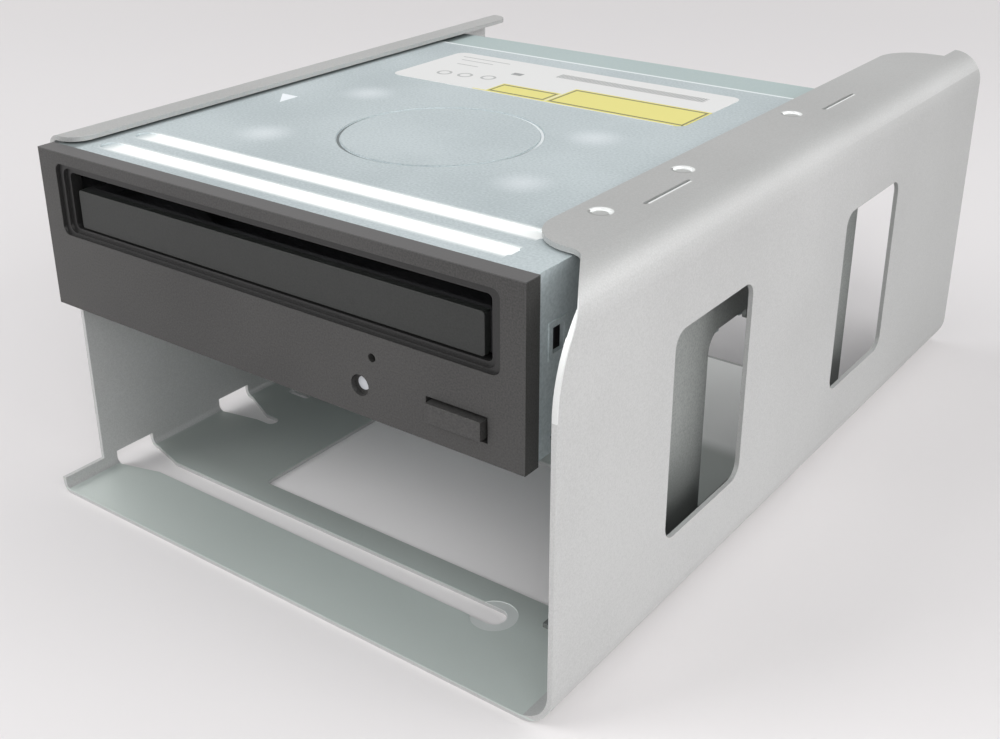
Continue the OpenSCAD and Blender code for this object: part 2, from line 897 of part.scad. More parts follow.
module bottom_cover() {
    inner = half_w - cover_t - pan_gap;
    color([0.7, 0.72, 0.72]) in_drive() difference() {
        union() {
            block([-inner, case_front, 0], [2 * inner, case_back - case_front - cover_t - pan_gap, cover_t]);
            for (x = [-inner, inner - cover_t]) difference() {
                block([x, case_front, 0], [cover_t, case_back - case_front - cover_t - pan_gap, pan_flange_h]);
                block([x - over, mount_y1 - 2 * collar_r, mount_z1 - 2 * collar_r],
                    [cover_t + 2 * over, mount_pitch + 4 * collar_r, pan_flange_h]);
            }
            block([-inner, case_back - 2 * cover_t - pan_gap, 0], [2 * inner, cover_t, back_wall_h]);
            board_spots() translate([0, 0, cover_t / 2])
                cylinder(r = board_boss_r, h = board_z - cover_t / 2);
        }
        case_screw_spots() translate([0, 0, -over])
            cylinder(r = case_screw_r + run_fit, h = cover_t + 2 * over);
        case_screw_spots() translate([0, 0, -over])
            cylinder(r = case_screw_head_r + slip, h = screw_recess + over);
        board_spots() translate([0, 0, cover_t]) cylinder(r = board_screw_r + tap_fit, h = board_z);
        block([conn_x - conn_w / 2 - slip, case_back - drive_l / 4, board_z + board_t - slip],
            [conn_w + 2 * slip, drive_l / 2, conn_h + 2 * slip]);
    }
}

module case_screws() {
    color("silver") in_drive() case_screw_spots() translate([0, 0, screw_recess])
        cross_screw(case_screw_head_r, screw_recess, case_screw_r, case_screw_l);
}

module label() {
    color([0.95, 0.95, 0.93]) in_drive() translate([label_x - label_w / 2, label_y - label_l / 2, drive_h])
        linear_extrude(label_t) rounded(label_w, label_l, label_r * [1, 1, 1, 1]);
}

// Bezel: two stepped recesses round the tray's mouth
module recess(i) {
    translate([-recess_w / 2 + i * step_side, bezel_z + recess_low + i * step_low])
        rounded(recess_w - 2 * i * step_side, recess_h - i * (step_low + step_top), recess_r * [1, 1, 1, 1]);
}

module bezel() {
    color([0.3, 0.29, 0.285]) in_drive() difference() {
        union() {
            block([-bezel_w / 2, 0, bezel_z], [bezel_w, bezel_t, bezel_h]);
            for (x = [-snap_x - snap_t, snap_x])
                block([x, bezel_t - over, snap_z], [snap_t, snap_l + over, snap_w]);
        }
        for (i = [0, 1]) wall_y(-over, over + (i + 1) * step_depth) recess(i);
        wall_y(-over, bezel_t + 2 * over) translate([-mouth_w / 2, bezel_z + mouth_low])
            rounded(mouth_w, mouth_h, mouth_r * [1, 1, 1, 1]);
        block([button_x - button_w / 2 - button_gap, -over, button_z - button_h / 2 - button_gap],
            [button_w + 2 * button_gap, bezel_t + 2 * over, button_h + 2 * button_gap]);
        bar_y([lamp_x, -over, lamp_z], lamp_d / 2, lens_recess + over);
        bar_y([lamp_x, 0, lamp_z], lens_d / 2 + tap_fit, bezel_t + over);
        bar_y([eject_hole_x, -over, eject_hole_z], eject_hole_r, bezel_t + 2 * over);
    }
}

module led_lens() {
    color([0.93, 0.94, 0.95]) in_drive() {
        bar_y([lamp_x, lens_recess, lamp_z], lens_d / 2, led_y - lens_recess - slip);
    }
}

module eject_button() {
    back = switch_y - plunger_l;
    color([0.3, 0.29, 0.285]) in_drive() {
        block([button_x - button_w / 2, -button_proud, button_z - button_h / 2],
            [button_w, button_proud + bezel_t + slip, button_h]);
        block([button_x - button_w / 2 - button_flange, bezel_t + slip, button_z - button_h / 2],
            [button_w + 2 * button_flange, button_plate_t, button_h]);
        block([button_x - button_stem_w / 2, bezel_t + slip, button_z - button_stem_w / 2],
            [button_stem_w, back - bezel_t - slip, button_stem_w]);
    }
}

// Chassis
gear_drive = [rack_x - gear_m * rack_n / 2, gear_y];
gear_idler = gear_drive + gear_m * (low_n + idler_pin_n) / 2 * [cos(idler_angle), sin(idler_angle)];
gear_pulley = gear_idler + gear_m * (idler_n + pulley_pin_n) / 2 * [cos(pulley_angle), sin(pulley_angle)];
motor_at = [motor_x, motor_y];

module chassis_walls() {
    for (x = [-chassis_w / 2, chassis_w / 2 - chassis_wall])
        block([x, chassis_front, chassis_low],
            [chassis_wall, chassis_back - chassis_front, chassis_top - chassis_low]);
    block([-chassis_w / 2, chassis_front, beam_low], [chassis_w, beam_t, beam_top - beam_low]);
    block([-chassis_w / 2, chassis_back - beam_t, chassis_low + beam_low],
        [chassis_w, beam_t, beam_top - beam_low - chassis_low]);
}

module chassis_deck() {
    difference() {
        block([-chassis_w / 2 + over, chassis_front, beam_low],
            [chassis_w - 2 * over, deck_back - chassis_front, deck_t]);
        bar_z([motor_x, motor_y, beam_low - over], motor_r + slip, deck_t + 2 * over);
    }
    difference() {
        bar_z([motor_x, motor_y, beam_low], motor_r + slip + cup_t, motor_low + motor_h + deck_t - beam_low);
        bar_z([motor_x, motor_y, beam_low - over], motor_r + slip,
            motor_low + motor_h + face_gap - beam_low + over);
        bar_z([motor_x, motor_y, beam_low], motor_r / 2, motor_low + motor_h);
    }
    for (p = [[gear_drive, level4], [gear_idler, level2], [gear_pulley, level3]])
        bar_z([p[0][0], p[0][1], beam_low + deck_t / 2], post_r, p[1] + gear_h - beam_low - deck_t / 2);
    for (x = hook_places) slider_hook(x);
}

// A hook that holds the cam slider's foot down on the deck
module slider_hook(x) {
    y = slider_y - slider_foot_l - slip - hook_t;
    top = beam_low + deck_t + slip + slider_foot_t + slip;
    block([x - hook_l / 2, y, beam_low + deck_t / 2], [hook_l, hook_t, top + hook_t - beam_low - deck_t / 2]);
    block([x - hook_l / 2, y, top], [hook_l, 2 * hook_t + slip, hook_t]);
}

module chassis_rails() {
    inner = chassis_w / 2 - chassis_wall;
    for (sign = [-1, 1]) {
        block([sign > 0 ? inner - ledge_w : -inner - over, chassis_front + beam_t,
            tray_low - tray_gap - ledge_t],
            [ledge_w + over, chassis_back - chassis_front - 2 * beam_t, ledge_t]);
        for (y = guide_places) block([sign > 0 ? inner - guide_w : -inner - over, y - guide_l / 2,
            chassis_top - guide_t], [guide_w + over, guide_l, guide_t]);
    }
}

module chassis_rear() {
    inner = chassis_w / 2 - chassis_wall;
    for (sign = [-1, 1]) {
        block([sign > 0 ? lug_x : -inner - over, rear_deck_y, rear_deck_z],
            [inner - lug_x + over, rear_deck_l, deck_t]);
        block([sign > 0 ? lug_x : -lug_x - lug_t, pivot_y - lug_l / 2, rear_deck_z],
            [lug_t, lug_l, pivot_z + 2 * pivot_r - rear_deck_z]);
        bar_z([sign * case_screw_x, case_screw_y1, cover_t + slip],
            case_screw_head_r + slip, beam_low - cover_t);
        bar_z([sign * case_screw_x, case_screw_y2, cover_t + slip], case_screw_head_r + slip,
            chassis_low + beam_low - cover_t);
    }
}

module chassis() {
    color([0.16, 0.16, 0.17]) in_drive() difference() {
        union() {
            chassis_walls();
            chassis_deck();
            chassis_rails();
            chassis_rear();
        }
        bar_x([-lug_x - lug_t - over, pivot_y, pivot_z], pivot_r + run_fit, lug_t + 2 * over);
        bar_x([lug_x - over, pivot_y, pivot_z], pivot_r + run_fit, lug_t + 2 * over);
        bar_y([eject_hole_x, chassis_front - over, eject_hole_z], eject_hole_r, beam_t + 2 * over);
        case_screw_spots() cylinder(r = case_screw_r + tap_fit, h = case_screw_l + screw_recess + slip);
        for (x = [-1, 1], y = [mount_y1, mount_y1 + mount_pitch], z = [mount_z1, mount_z2])
            bar_x([x > 0 ? chassis_w / 2 - chassis_wall - over : -chassis_w / 2 - over, y, z],
                collar_r + slip, chassis_wall + 2 * over);
        for (x = [-snap_x - snap_t - slip, snap_x - slip]) block([x, chassis_front - over, snap_z - slip],
            [snap_t + 2 * slip, beam_t + 2 * over, snap_w + 2 * slip]);
    }
}

// Tray: a floor with the disc's round recess, side walls and a long slot for the pickup
module tray_outline() {
    translate([-tray_w / 2, tray_front_y]) square([tray_w, tray_back - tray_front_y]);
}

module tray() {
    y = spindle_y;
    color([0.13, 0.13, 0.14]) in_drive() difference() {
        union() {
            difference() {
                translate([0, 0, tray_floor_z]) linear_extrude(tray_top - tray_floor_z) tray_outline();
                translate([0, y, tray_floor_z + tray_floor_t]) cylinder(r = disc_recess_d / 2, h = tray_top);
                block([-tray_w / 2 + tray_wall, tray_front_y + tray_front_wall,
                    tray_floor_z + 2 * tray_floor_t],
                    [tray_w - 2 * tray_wall, tray_back, tray_top]);
            }
            for (x = [-tray_w / 2, tray_w / 2 - skid_w])
                block([x, tray_front_y, tray_low],
                    [skid_w, tray_back - tray_front_y, tray_floor_z - tray_low + over]);
            tray_rack();
        }
        translate([0, 0, tray_low]) linear_extrude(tray_top) {
            translate([0, y]) circle(r = hub_clear_r);
            translate([-tray_slot_w / 2, y]) square([tray_slot_w, tray_back]);
        }
    }
}

module tray_rack() {
    pitch = PI * gear_m;
    tip_x = rack_x - gear_m * addendum_share;
    root_x = rack_x + gear_m * dedendum_share;
    first = ceil((tray_front_y - gear_y) / pitch);
    last = floor((tray_back - gear_y) / pitch) - 1;
    translate([0, 0, tray_low - tray_gap]) linear_extrude(tray_floor_z - tray_low + tray_gap + over) {
        translate([root_x, tray_front_y]) square([rack_back_w, tray_back - tray_front_y]);
        for (i = [first:last]) translate([0, gear_y + (i + 0.5) * pitch]) polygon([
            [root_x + over, -pitch * tooth_root_share / 2], [tip_x, -pitch * tooth_tip_share / 2],
            [tip_x, pitch * tooth_tip_share / 2], [root_x + over, pitch * tooth_root_share / 2]]);
    }
}

module tray_front() {
    color([0.3, 0.29, 0.285]) in_drive() wall_y(tray_front_y - front_plate_t, front_plate_t)
        translate([-front_plate_w / 2, tray_low - tray_gap]) rounded(front_plate_w, front_plate_h,
            front_plate_r * [1, 1, 1, 1]);
}

module disc_pads() {
    color([0.35, 0.35, 0.36]) in_drive() for (turn = [150, 210, 330, 30])
        translate([pad_ring_r * cos(turn), spindle_y + pad_ring_r * sin(turn), tray_floor_z + tray_floor_t])
            cylinder(r = pad_r, h = pad_h);
}

// Loading drive
module load_motor() {
    color([0.7, 0.7, 0.72]) in_drive() {
        difference() {
            bar_z([motor_x, motor_y, motor_low], motor_r, motor_h);
            bar_z([motor_x, motor_y, motor_low + motor_h - shaft_in - face_gap], motor_shaft_r + run_fit,
                shaft_in + face_gap + over);
        }
        for (x = [-lead_pitch, lead_pitch])
            block([motor_x + x - lead_w / 2, motor_y - lead_w / 2, motor_low - lead_l],
                [lead_w, lead_w, lead_l]);
    }
}

module grooved_pulley(r, h) {
    difference() {
        cylinder(r = r, h = h);
        translate([0, 0, (h - belt_w) / 2 - run_fit]) difference() {
            cylinder(r = r + over, h = belt_w + 2 * run_fit);
            translate([0, 0, -over]) cylinder(r = r - groove_depth, h = h);
        }
    }
}

module motor_pulley() {
    low = motor_low + motor_h - shaft_in;
    color("ivory") in_drive() {
        translate([motor_x, motor_y, level3]) grooved_pulley(motor_pulley_r, pulley_h);
        bar_z([motor_x, motor_y, low], motor_shaft_r, level3 + over - low);
    }
}

module load_belt() {
    inner_small = motor_pulley_r - groove_depth + face_gap;
    inner_big = pulley_r - groove_depth + face_gap;
    color([0.1, 0.1, 0.1]) in_drive() translate([0, 0, level3 + (pulley_h - belt_w) / 2])
        linear_extrude(belt_w)
        difference() {
            belt_line(motor_at, inner_small + belt_w, gear_pulley, inner_big + belt_w);
            belt_line(motor_at, inner_small, gear_pulley, inner_big);
        }
}

module on_post(place, low, top) {
    difference() {
        children();
        translate([place[0], place[1], low - over]) cylinder(r = post_r + run_fit, h = top - low + 2 * over);
    }
}

module pulley_gear() {
    turn = pulley_angle + 180 + 180 / pulley_pin_n;
    color("ivory") in_drive() on_post(gear_pulley, level1, level3 + pulley_h) {
        gear([gear_pulley[0], gear_pulley[1], level1], pulley_pin_n, turn, level3 - level1 + over);
        translate([gear_pulley[0], gear_pulley[1], level3]) grooved_pulley(pulley_r, pulley_h);
    }
}

module idler_gear() {
    turn = idler_angle + 180 + 180 / idler_pin_n;
    color("ivory") in_drive() on_post(gear_idler, level1, level2 + gear_h) {
        gear([gear_idler[0], gear_idler[1], level1], idler_n, pulley_angle, gear_h);
        gear([gear_idler[0], gear_idler[1], level1], idler_pin_n, turn, level2 + gear_h - level1);
    }
}

module drive_gear() {
    color("ivory") in_drive() on_post(gear_drive, beam_low + deck_t, level4 + gear_h) {
        gear([gear_drive[0], gear_drive[1], level2], low_n, idler_angle, gear_h);
        gear([gear_drive[0], gear_drive[1], level2], rack_n, 0, level4 + gear_h - level2);
        bar_z([gear_drive[0], gear_drive[1], beam_low + deck_t + face_gap],
            2 * post_r, level2 - beam_low - deck_t);
    }
}

// Cam slider and lift frame
pin_drop = (pivot_y - lift_front) * sin(lift_angle) + slip;

module cam_slider() {
    foot_z = beam_low + deck_t + slip;
    color([0.85, 0.85, 0.8]) in_drive() {
        wall_y(slider_y, slider_t) difference() {
            translate([slider_x, slider_low]) square([slider_w, slider_top - slider_low]);
            for (x = [-pin_x, pin_x]) slot([x, pin_z], [x - cam_travel, pin_z - pin_drop], pin_r + cam_gap);
        }
        block([slider_x, slider_y - slider_foot_l, foot_z], [slider_w, slider_foot_l, slider_foot_t]);
    }
}

module lift_frame() {
    color([0.2, 0.2, 0.21]) in_drive() difference() {
        union() {
            block([-lift_w / 2, lift_front, lift_z], [lift_w, lift_back - lift_front, lift_t]);
            block([-pin_x - lift_rail, lift_front, lift_z],
                [2 * (pin_x + lift_rail), lift_t, pin_z + 2 * pin_r - lift_z - pin_r / 2]);
            for (x = [-pin_x, pin_x]) bar_y([x, pin_front, pin_z], pin_r, lift_front - pin_front + over);
            for (sign = [-1, 1]) {
                block([sign > 0 ? lift_w / 2 - leg_t : -lift_w / 2, pivot_y - leg_l / 2, leg_low],
                    [leg_t, leg_l, lift_z + over - leg_low]);
                bar_x([sign > 0 ? lift_w / 2 - over : -lift_w / 2 - trunnion_l, pivot_y, pivot_z], pivot_r,
                    trunnion_l + over);
            }
        }
        block([-lift_w / 2 + lift_rail, lift_bay_y, lift_z - over],
            [lift_w - 2 * lift_rail, lift_bay_l, lift_t + 2 * over]);
        damper_spots() translate([0, 0, lift_z - over])
            cylinder(r = damper_screw_r + tap_fit, h = lift_t + 2 * over);
    }
}

module damper_spots() {
    for (x = [-damper_x, damper_x], y = [damper_y1, damper_y2]) translate([x, y, 0]) children();
}

module dampers() {
    color([0.08, 0.08, 0.08]) in_drive() damper_spots() translate([0, 0, lift_z + lift_t]) difference() {
        cylinder(r = damper_r, h = damper_h);
        translate([0, 0, -over]) cylinder(r = damper_screw_r + run_fit, h = damper_h + 2 * over);
    }
}

module damper_screws() {
    color("silver") in_drive() damper_spots() translate([0, 0, plate_z + plate_t]) mirror([0, 0, 1])
        cross_screw(damper_head_r, damper_head_h, damper_screw_r, plate_t + damper_h + lift_t - slip);
}

// Traverse plate with the pickup's bay, the rods' saddles and the spindle's seat
module traverse_plate() {
    color([0.6, 0.6, 0.62]) in_drive() difference() {
        union() {
            block([-plate_w / 2, plate_front, plate_z], [plate_w, plate_back - plate_front, plate_t]);
            for (x = [-rod_x, rod_x], y = [bay_y - saddle_l, bay_y + bay_l])
                block([x - saddle_w / 2, y, plate_z + plate_t / 2],
                    [saddle_w, saddle_l, rod_z + rod_d / 2 - plate_z]);
            block([screw_x - saddle_w / 2, bay_y + bay_l - saddle_l / 2, plate_z + plate_t / 2],
                [saddle_w, saddle_l, screw_z + screw_d - plate_z - plate_t / 2]);
        }
        block([bay_x - bay_w / 2, bay_y, plate_z - over], [bay_w, bay_l, plate_t + 2 * over]);
        bar_z([0, spindle_y, plate_z - over], bush_r + run_fit, plate_t + 2 * over);
        for (x = [-rod_x, rod_x]) bar_y([x, rod_front(), rod_z], rod_d / 2 + tap_fit, rod_l);
        bar_y([screw_x, bay_y, screw_z], screw_d / 2 + run_fit, screw_front + screw_l + face_gap - bay_y);
        bar_y([screw_x, step_motor_y, screw_z], screw_d / 2 + slip, bay_y + over - step_motor_y);
        damper_spots() translate([0, 0, plate_z - over])
            cylinder(r = damper_screw_r + run_fit, h = plate_t + 2 * over);
        bar_y([screw_x, step_motor_y - slip, screw_z], step_motor_r + slip, step_motor_l + 2 * slip);
    }
}

function rod_front() = bay_y - (rod_l - bay_l) / 2;

module spindle_base() {
    z = plate_z + plate_t;
    color([0.78, 0.78, 0.75]) in_drive() difference() {
        union() {
            translate([-base_w / 2, base_y, z]) linear_extrude(base_t)
                rounded(base_w, base_l, small_r * [1, 1, 1, 1]);
            bar_z([0, spindle_y, plate_z - plate_t], bush_r, bush_h);
        }
        bar_z([0, spindle_y, plate_z - plate_t + over], shaft_r + run_fit, bush_h);
    }
}

module spindle_stator() {
    z = plate_z + plate_t + base_t;
    arm = stator_r - bush_r;
    color([0.72, 0.45, 0.25]) in_drive() translate([0, spindle_y, z]) linear_extrude(stator_h) difference() {
        union() {
            circle(r = bush_r + arm * yoke_share);
            for (i = [0:stator_n - 1]) rotate(i * 360 / stator_n) {
                translate([bush_r + tap_fit, -arm * arm_share / 2]) square([arm - tap_fit, arm * arm_share]);
                translate([stator_r - arm * tip_share, -arm * tip_w_share / 2])
                    square([arm * tip_share, arm * tip_w_share]);
            }
        }
        circle(r = bush_r + tap_fit);
    }
}

module spindle_rotor() {
    color([0.62, 0.62, 0.64]) in_drive() translate([0, spindle_y, 0]) {
        translate([0, 0, rotor_low]) rotate_extrude() {
            translate([rotor_r - rotor_wall, 0]) square([rotor_wall, rotor_top - rotor_low]);
            translate([0, rotor_top - rotor_low - rotor_wall]) square([rotor_r, rotor_wall]);
        }
        bar_z([0, 0, rotor_top - over], turntable_r, table_t + over);
        bar_z([0, 0, plate_z - plate_t + over + slip], shaft_r, rotor_top - plate_z + plate_t - over - slip);
    }
}

table_z = rotor_top + table_t;

module turntable_pad() {
    color([0.12, 0.12, 0.13]) in_drive() translate([0, spindle_y, table_z]) difference() {
        cylinder(r = turntable_r - slip, h = pad_t);
        translate([0, 0, -over]) cylinder(r = turntable_r - slip - pad_w, h = pad_t + 2 * over);
    }
}

module hub_cone() {
    color([0.85, 0.85, 0.85]) in_drive() translate([0, spindle_y, table_z])
        rotate_extrude() polygon([[0, 0], [cone_r, 0],
            [cone_r, cone_h * cone_rim_share], [cone_top_r, cone_h], [0, cone_h]]);
}

module guide_rods() {
    color([0.8, 0.8, 0.82]) in_drive() for (x = [-rod_x, rod_x])
        bar_y([x, rod_front(), rod_z], rod_d / 2, rod_l);
}

// Pickup
module pickup_body() {
    z = sled_z;
    color([0.55, 0.55, 0.57]) in_drive() difference() {
        union() {
            block([-sled_w / 2, sled_y, z], [sled_w, sled_l, sled_h]);
            block([-rod_x - ear_w / 2, sled_y + (sled_l - ear_l) / 2, rod_z - ear_h / 2],
                [rod_x + ear_w / 2 - sled_w / 2 + over, ear_l, ear_h]);
            block([sled_w / 2 - over, sled_y + (sled_l - ear_l) / 2, rod_z - ear_h / 2],
                [rod_x + ear_w / 2 - sled_w / 2 + over, ear_l, ear_h]);
        }
        bar_z([0, spindle_y, z - over], sled_nose_r, sled_h + 2 * over);
        block([-well_w / 2, lens_y - well_l / 2, z + sled_h - well_depth],
            [well_w, well_l, well_depth + over]);
        for (x = [-rod_x, rod_x]) bar_y([x, sled_y, rod_z], rod_d / 2 + run_fit, sled_l);
        block([rod_x, sled_y, rod_z - rod_d / 2 - run_fit], [ear_w, sled_l, rod_d + 2 * run_fit]);
    }
}

module feed_nut() {
    y = sled_y + sled_l - nut_l - slip;
    top = screw_z - screw_d / 2 - nut_gap;
    color("ivory") in_drive() {
        block([sled_w / 2, y, top - nut_rise - nut_t], [screw_x + screw_d / 2 - sled_w / 2, nut_l, nut_t]);
        block([screw_x - screw_d / 2, y, top - nut_rise - nut_t], [screw_d, nut_l, nut_t + nut_rise]);
    }
}

module actuator_magnets() {
    z = sled_z + sled_h - well_depth;
    color([0.25, 0.25, 0.27]) in_drive() for (y = [lens_y - well_l / 2, lens_y + well_l / 2 - magnet_t])
        block([-magnet_w / 2, y, z], [magnet_w, magnet_t, magnet_h]);
}

module lens_holder() {
    color([0.15, 0.15, 0.16]) in_drive() difference() {
        block([-holder_w / 2, lens_y - holder_l / 2, holder_z], [holder_w, holder_l, holder_h]);
        bar_z([0, lens_y, holder_z - over], lens_r - holder_top_t, holder_h + 2 * over);
        bar_z([0, lens_y, holder_z + holder_h - lens_h], lens_r + tap_fit, lens_h + over);
    }
}

module lens() {
    color([0.6, 0.7, 0.9, 0.5]) in_drive()
        bar_z([0, lens_y, holder_z + holder_h - lens_h], lens_r, lens_h);
}

// Ring grooves stand for the lead screw's thread
module lead_screw() {
    clear = bay_y - screw_front;
    turns = floor((screw_l - clear - 2 * saddle_l) / screw_pitch);
    r = screw_d / 2;
    color([0.8, 0.8, 0.82]) in_drive() translate([screw_x, screw_front, screw_z]) rotate([-90, 0, 0])
        rotate_extrude() polygon(concat([[0, 0], [r, 0]],
            [for (i = [1:turns], p = [[0, r], [over, r - thread_depth], [2 * over, r]])
                [p[1], clear + i * screw_pitch + p[0]]],
            [[r, screw_l], [0, screw_l]]));
}

module sled_motor() {
    color([0.72, 0.72, 0.74]) in_drive() difference() {
        bar_y([screw_x, step_motor_y, screw_z], step_motor_r, step_motor_l);
        bar_y([screw_x, step_motor_y + step_motor_l - step_bore_l, screw_z], screw_d / 2 + run_fit,
            step_bore_l + over);
    }
}

// Clamp
module clamp_bracket() {
    inner = chassis_w / 2;
    color([0.68, 0.7, 0.7]) in_drive() difference() {
        translate([0, 0, clamp_z]) linear_extrude(clamp_t) difference() {
            translate([-inner, spindle_y - clamp_l / 2]) rounded(2 * inner, clamp_l, small_r * [1, 1, 1, 1]);
            translate([0, spindle_y]) circle(r = clamp_hole_r);
        }
    }
}

module clamper() {
    top = clamp_z + clamp_t + face_gap;
    color([0.88, 0.88, 0.86]) in_drive() translate([0, spindle_y, 0]) difference() {
        union() {
            bar_z([0, 0, puck_low], puck_r, top - puck_low + over);
            bar_z([0, 0, top], puck_flange_r, puck_flange_t);
        }
        bar_z([0, 0, puck_low - over], puck_well_r, puck_well_h + over);
        bar_z([0, 0, puck_low + puck_well_h - over], puck_magnet_in, puck_magnet_h + 2 * over);
        bar_z([0, 0, top], puck_magnet_r, puck_flange_t + over);
    }
}

module clamp_magnet() {
    color([0.3, 0.3, 0.32]) in_drive()
        bar_z([0, spindle_y, clamp_z + clamp_t + face_gap], puck_magnet_r - run_fit, puck_magnet_h - face_gap);
}

// Boards
module board_spots() {
    for (x = [-board_screw_x, board_screw_x], y = [board_screw_y, board_screw_y + board_screw_pitch])
        translate([x, y, 0]) children();
    for (x = front_screw_xs) translate([x, front_screw_y, 0]) children();
}

module board_holes() {
    board_spots() translate([0, 0, board_z - over])
        cylinder(r = board_screw_r + run_fit, h = board_t + 2 * over);
}

module main_board() {
    color([0.1, 0.35, 0.18]) in_drive() difference() {
        block([-board_w / 2, board_y, board_z], [board_w, board_l, board_t]);
        board_holes();
    }
}

module board_chips() {
    color([0.1, 0.1, 0.11]) in_drive() for (c = chip_shares)
        block([c[0] * board_w, board_y + c[1] * board_l, board_z + board_t],
            [c[2] * board_w, c[3] * board_l, chip_h]);
}

module board_screws() {
    color("silver") in_drive() board_spots() translate([0, 0, board_z + board_t]) mirror([0, 0, 1])
        cross_screw(board_head_r, board_head_h, board_screw_r, board_t + board_z - cover_t);
}

module rear_connector() {
    z = board_z + board_t;
    y = case_back - conn_l;
    inner_w = conn_w - 3 * conn_wall;
    data_w = inner_w * data_tongue_w / (data_tongue_w + power_tongue_w);
    color([0.1, 0.1, 0.1]) in_drive() {
        difference() {
            block([conn_x - conn_w / 2, y, z], [conn_w, conn_l, conn_h]);
            block([conn_x - conn_w / 2 + conn_wall, case_back - conn_depth, z + conn_wall],
                [data_w, conn_depth + over, conn_h - 2 * conn_wall]);
            block([conn_x - conn_w / 2 + 2 * conn_wall + data_w, case_back - conn_depth, z + conn_wall],
                [inner_w - data_w, conn_depth + over, conn_h - 2 * conn_wall]);
        }
        for (p = [[conn_wall, data_w], [2 * conn_wall + data_w, inner_w - data_w]])
            block([conn_x - conn_w / 2 + p[0] + tongue_t, case_back - conn_depth - over,
                z + conn_h / 2 - tongue_t / 2],
                [p[1] - 2 * tongue_t, conn_depth, tongue_t]);
    }
}

module front_board() {
    color([0.1, 0.35, 0.18]) in_drive() difference() {
        block([front_board_x, front_board_y, board_z], [front_board_w, front_board_l, board_t]);
        board_holes();
    }
}

module eject_switch() {
    z = board_z + board_t;
    color([0.2, 0.2, 0.2]) in_drive() difference() {
        block([button_x - switch_w / 2, switch_y, z], [switch_w, switch_l, switch_h]);
        bar_y([button_x, switch_y - over, button_z], plunger_r + run_fit, plunger_bore_l + over);
    }
}

module switch_plunger() {
    color("ivory") in_drive() bar_y([button_x, switch_y - plunger_l, button_z],
        plunger_r, plunger_l + plunger_in);
}

module led() {
    z = board_z + board_t;
    color([0.8, 0.85, 0.7]) in_drive() {
        bar_y([lamp_x, led_y, lamp_z], led_r, led_l);
        block([lamp_x - led_foot_w / 2, led_y + led_l, z], [led_foot_w, led_l / 2, lamp_z + led_r - z]);
    }
}

module tray_switch() {
    color([0.2, 0.2, 0.2]) in_drive()
        block([tray_switch_x, tray_switch_y, beam_low + deck_t],
            [tray_switch_w, tray_switch_l, tray_switch_h]);
}

carrier();
side_bracket();
bracket_rivets();
carrier_screws();
top_cover();
bottom_cover();
case_screws();
label();
bezel();
led_lens();
eject_button();
chassis();
tray();
tray_front();
disc_pads();
front_board();
eject_switch();
switch_plunger();
tray_switch();
led();
load_motor();
motor_pulley();
load_belt();
pulley_gear();
idler_gear();
drive_gear();
cam_slider();
lift_frame();
dampers();
damper_screws();
traverse_plate();
spindle_base();
spindle_stator();
spindle_rotor();
turntable_pad();
hub_cone();
guide_rods();
pickup_body();
feed_nut();
actuator_magnets();
lens_holder();
lens();
lead_screw();
sled_motor();
clamp_bracket();
clamper();
clamp_magnet();
main_board();
board_chips();
board_screws();
rear_connector();
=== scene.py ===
import math

import bpy
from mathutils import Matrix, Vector


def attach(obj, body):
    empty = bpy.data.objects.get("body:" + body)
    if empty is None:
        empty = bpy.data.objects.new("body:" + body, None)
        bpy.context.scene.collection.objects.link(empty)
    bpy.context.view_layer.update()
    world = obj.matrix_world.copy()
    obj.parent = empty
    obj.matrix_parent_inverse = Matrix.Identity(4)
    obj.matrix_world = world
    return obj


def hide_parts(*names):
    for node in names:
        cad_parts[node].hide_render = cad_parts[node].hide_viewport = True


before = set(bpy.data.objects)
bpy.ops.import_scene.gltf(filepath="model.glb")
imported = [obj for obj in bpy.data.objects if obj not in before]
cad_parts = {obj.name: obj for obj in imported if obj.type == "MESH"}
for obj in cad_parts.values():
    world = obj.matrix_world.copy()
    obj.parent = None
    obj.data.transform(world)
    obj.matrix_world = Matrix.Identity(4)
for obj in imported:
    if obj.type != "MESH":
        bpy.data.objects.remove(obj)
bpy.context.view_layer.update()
print("frame loaded")

# Every length is in metres
camera = {
    "place": (0.19868, -0.29590, 0.19175),
    "azimuth": 36.592,
    "elevation": 24.059,
    "roll": 0.222,
    "focal": 47.065,
    "sensor": 36,
    "shift": (0.00587, -0.05795),
    "near": 0.01,
}

# Each lamp: place, size and power
light = {
    "world": (0.93, 0.96, 1.0),
    "worldStrength": 0.20,
    "backdropStrength": 0.95,
    "nearFloor": (0.5, 1.1),
    "floor": (0.80, 0.775, 0.775),
    "floorSize": 12,
    "floorRoughness": 0.9,
    "floorSpecular": 0.1,
    "aim": (0, 0, 0.05),
    "lamps": {
        "overhead": ((0.1, 0.5, 2.4), (2.6, 2.0), 10.0),
        "topLeft": ((-1.3, -0.2, 1.8), (1.4, 1.4), 7.0),
        "frontLeft": ((-1.2, -1.3, 1.1), (1.2, 1.2), 21.5),
        "frontRight": ((0.8, -0.85, 0.7), (0.7, 0.7), 6.5),
        "right": ((2.0, 0.1, 0.9), (1.6, 1.2), 20.0),
        "rearRight": ((1.2, 1.2, 1.3), (1.2, 1.2), 7.5),
    },
}

# Where the drive's own frame stands: x at the bezel's middle, y at its face
drive = {"origin": (-0.004, -0.1125), "top": 0.0973}
driveX, driveY = drive["origin"]

# How a CAD node becomes a finished shell; angles in degrees
meshing = {"merge": 0.000002, "flat": 0.4, "sharp": 35, "segments": 2, "smooth": 32}

# How fine grain and broad clouds share a surface
graining = {"fine": 0.55, "broad": 0.45, "spread": (0.3, 0.7), "wear": 0.12, "bump": 0.35}


